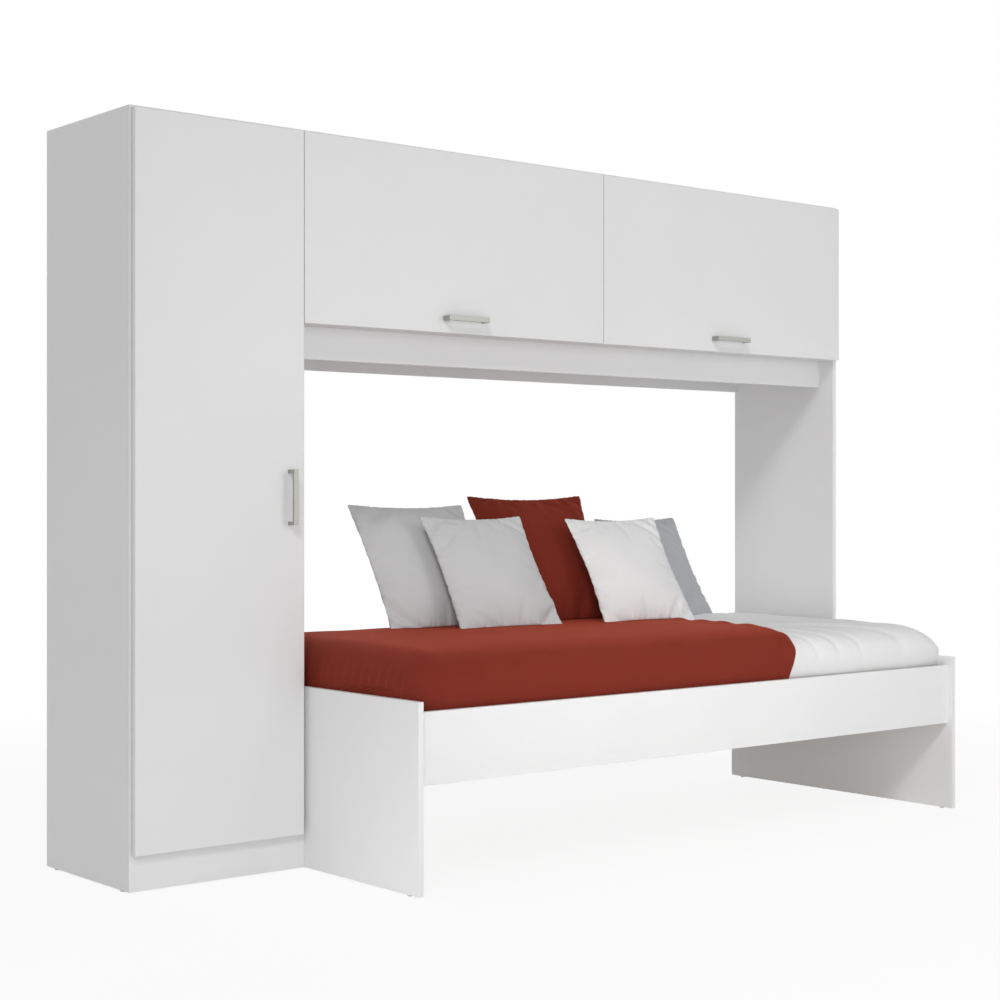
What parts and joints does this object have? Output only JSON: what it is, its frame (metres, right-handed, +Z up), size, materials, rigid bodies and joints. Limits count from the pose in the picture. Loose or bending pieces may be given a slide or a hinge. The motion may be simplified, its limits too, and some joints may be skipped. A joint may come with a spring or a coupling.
{
  "type": "single bed with overbed wardrobe unit",
  "caption": "White single bed set in a bay beside a narrow wardrobe, bridged by a cupboard with lift-up flaps, with mattress, bedspread and cushions.",
  "frame": {"origin": "on the floor under the middle of the whole unit", "axes": "+X along the bed from the wardrobe to the support panel, +Y towards the wall behind, +Z up"},
  "size_m": [2.626, 0.939, 1.934],
  "materials": {
    "white_board": "white melamine facing, satin, on particle board",
    "thin_back": "white faced hardboard",
    "satin_metal": "satin grey metal",
    "zinc_steel": "plated steel",
    "bright_steel": "bright plated steel",
    "grey_paint": "grey painted steel",
    "natural_wood": "bare planed softwood",
    "glide_plastic": "pale matte plastic",
    "mattress_cloth": "woven ticking",
    "white_cloth": "white cotton",
    "red_cloth": "brick red cotton",
    "grey_cloth": "light grey cotton",
    "blue_grey_cloth": "blue grey cotton"
  },
  "bodies": {
    "carcass": {"bed_back_rail": "white_board", "bed_front_rail": "white_board", "bed_left_end": "white_board", "bed_right_end": "white_board", "blue_grey_cushion": "blue_grey_cloth", "bridge_back": "thin_back", "bridge_back_rail": "white_board", "bridge_bottom": "white_board", "bridge_divider": "white_board", "bridge_top": "white_board", "bridge_valance": "white_board", "cabinet_strut_brackets": "zinc_steel", "cam_fittings": "zinc_steel", "door_hinge_arms": "zinc_steel", "flap_hinge_arms": "zinc_steel", "floor_glides": "glide_plastic", "hanging_rail": "bright_steel", "hat_shelf": "white_board", "large_grey_cushion": "grey_cloth", "mattress": "mattress_cloth", "rail_sockets": "zinc_steel", "red_bedspread": "red_cloth", "red_cushion": "red_cloth", "right_support_panel": "white_board", "shelf_pins": "zinc_steel", "slat_bearers": "natural_wood", "slats": "natural_wood", "small_grey_cushion": "grey_cloth", "wardrobe_back": "thin_back", "wardrobe_floor": "white_board", "wardrobe_left_side": "white_board", "wardrobe_plinth": "white_board", "wardrobe_right_side": "white_board", "wardrobe_top": "white_board", "white_cushion": "white_cloth", "white_duvet": "white_cloth"},
    "door": {"wardrobe_door": "white_board", "door_handle": "satin_metal", "door_handle_screws": "zinc_steel", "door_hinge_cups": "zinc_steel"},
    "door_inner_links": {"door_hinge_inner_links": "zinc_steel"},
    "door_outer_links": {"door_hinge_outer_links": "zinc_steel"},
    "left_flap_door": {"left_flap": "white_board", "left_flap_handle": "satin_metal", "left_flap_handle_screws": "zinc_steel", "left_flap_hinge_cups": "zinc_steel", "left_flap_strut_brackets": "zinc_steel"},
    "left_flap_inner_links": {"left_flap_hinge_inner_links": "zinc_steel"},
    "left_flap_outer_links": {"left_flap_hinge_outer_links": "zinc_steel"},
    "left_flap_tubes": {"left_flap_strut_tubes": "grey_paint"},
    "left_flap_rods": {"left_flap_strut_rods": "bright_steel"},
    "right_flap_door": {"right_flap": "white_board", "right_flap_handle": "satin_metal", "right_flap_handle_screws": "zinc_steel", "right_flap_hinge_cups": "zinc_steel", "right_flap_strut_brackets": "zinc_steel"},
    "right_flap_inner_links": {"right_flap_hinge_inner_links": "zinc_steel"},
    "right_flap_outer_links": {"right_flap_hinge_outer_links": "zinc_steel"},
    "right_flap_tubes": {"right_flap_strut_tubes": "grey_paint"},
    "right_flap_rods": {"right_flap_strut_rods": "bright_steel"}
  },
  "joints": [
    {"name": "door_hinge", "type": "hinge", "parent": "carcass", "child": "door", "pos_m": [-1.306, 0.0065, 1], "axis": [0, 0, -1], "range_deg": [0, 95]},
    {"name": "door_arm_pivot", "type": "hinge", "parent": "carcass", "child": "door_inner_links", "pos_m": [-1.289, 0.0375, 1], "axis": [0, 0, -1], "range_deg": [0, 95]},
    {"name": "door_cup_pivot", "type": "hinge", "parent": "door", "child": "door_outer_links", "pos_m": [-1.276, 0.0175, 1], "axis": [0, 0, -1], "range_deg": [-95, 0]},
    {"name": "left_flap_hinge", "type": "hinge", "parent": "carcass", "child": "left_flap_door", "pos_m": [-0.28237, 0.0065, 1.927], "axis": [-1, 0, 0], "range_deg": [0, 85]},
    {"name": "left_flap_arm_pivot", "type": "hinge", "parent": "carcass", "child": "left_flap_inner_links", "pos_m": [-0.28237, 0.0375, 1.91], "axis": [-1, 0, 0], "range_deg": [0, 85]},
    {"name": "left_flap_cup_pivot", "type": "hinge", "parent": "left_flap_door", "child": "left_flap_outer_links", "pos_m": [-0.28237, 0.0175, 1.897], "axis": [-1, 0, 0], "range_deg": [-85, 0]},
    {"name": "left_flap_tube_pivot", "type": "hinge", "parent": "carcass", "child": "left_flap_tubes", "pos_m": [-0.28237, 0.18434, 1.898], "axis": [-1, 0, 0], "range_deg": [0, 42.5]},
    {"name": "left_flap_rod_pivot", "type": "hinge", "parent": "left_flap_door", "child": "left_flap_rods", "pos_m": [-0.28237, 0.0345, 1.749], "axis": [-1, 0, 0], "range_deg": [-42.5, 0]},
    {"name": "right_flap_hinge", "type": "hinge", "parent": "carcass", "child": "right_flap_door", "pos_m": [0.77738, 0.0065, 1.927], "axis": [-1, 0, 0], "range_deg": [0, 85]},
    {"name": "right_flap_arm_pivot", "type": "hinge", "parent": "carcass", "child": "right_flap_inner_links", "pos_m": [0.77738, 0.0375, 1.91], "axis": [-1, 0, 0], "range_deg": [0, 85]},
    {"name": "right_flap_cup_pivot", "type": "hinge", "parent": "right_flap_door", "child": "right_flap_outer_links", "pos_m": [0.77738, 0.0175, 1.897], "axis": [-1, 0, 0], "range_deg": [-85, 0]},
    {"name": "right_flap_tube_pivot", "type": "hinge", "parent": "carcass", "child": "right_flap_tubes", "pos_m": [0.77738, 0.18434, 1.898], "axis": [-1, 0, 0], "range_deg": [0, 42.5]},
    {"name": "right_flap_rod_pivot", "type": "hinge", "parent": "right_flap_door", "child": "right_flap_rods", "pos_m": [0.77738, 0.0345, 1.749], "axis": [-1, 0, 0], "range_deg": [-42.5, 0]}
  ],
  "couplings": [
    {"joint": "door_arm_pivot", "follows": "door_hinge", "ratio": 1},
    {"joint": "door_cup_pivot", "follows": "door_hinge", "ratio": -1},
    {"joint": "left_flap_arm_pivot", "follows": "left_flap_hinge", "ratio": 1},
    {"joint": "left_flap_cup_pivot", "follows": "left_flap_hinge", "ratio": -1},
    {"joint": "left_flap_tube_pivot", "follows": "left_flap_hinge", "ratio": 0.5},
    {"joint": "left_flap_rod_pivot", "follows": "left_flap_hinge", "ratio": -0.5},
    {"joint": "right_flap_arm_pivot", "follows": "right_flap_hinge", "ratio": 1},
    {"joint": "right_flap_cup_pivot", "follows": "right_flap_hinge", "ratio": -1},
    {"joint": "right_flap_tube_pivot", "follows": "right_flap_hinge", "ratio": 0.5},
    {"joint": "right_flap_rod_pivot", "follows": "right_flap_hinge", "ratio": -0.5}
  ]
}
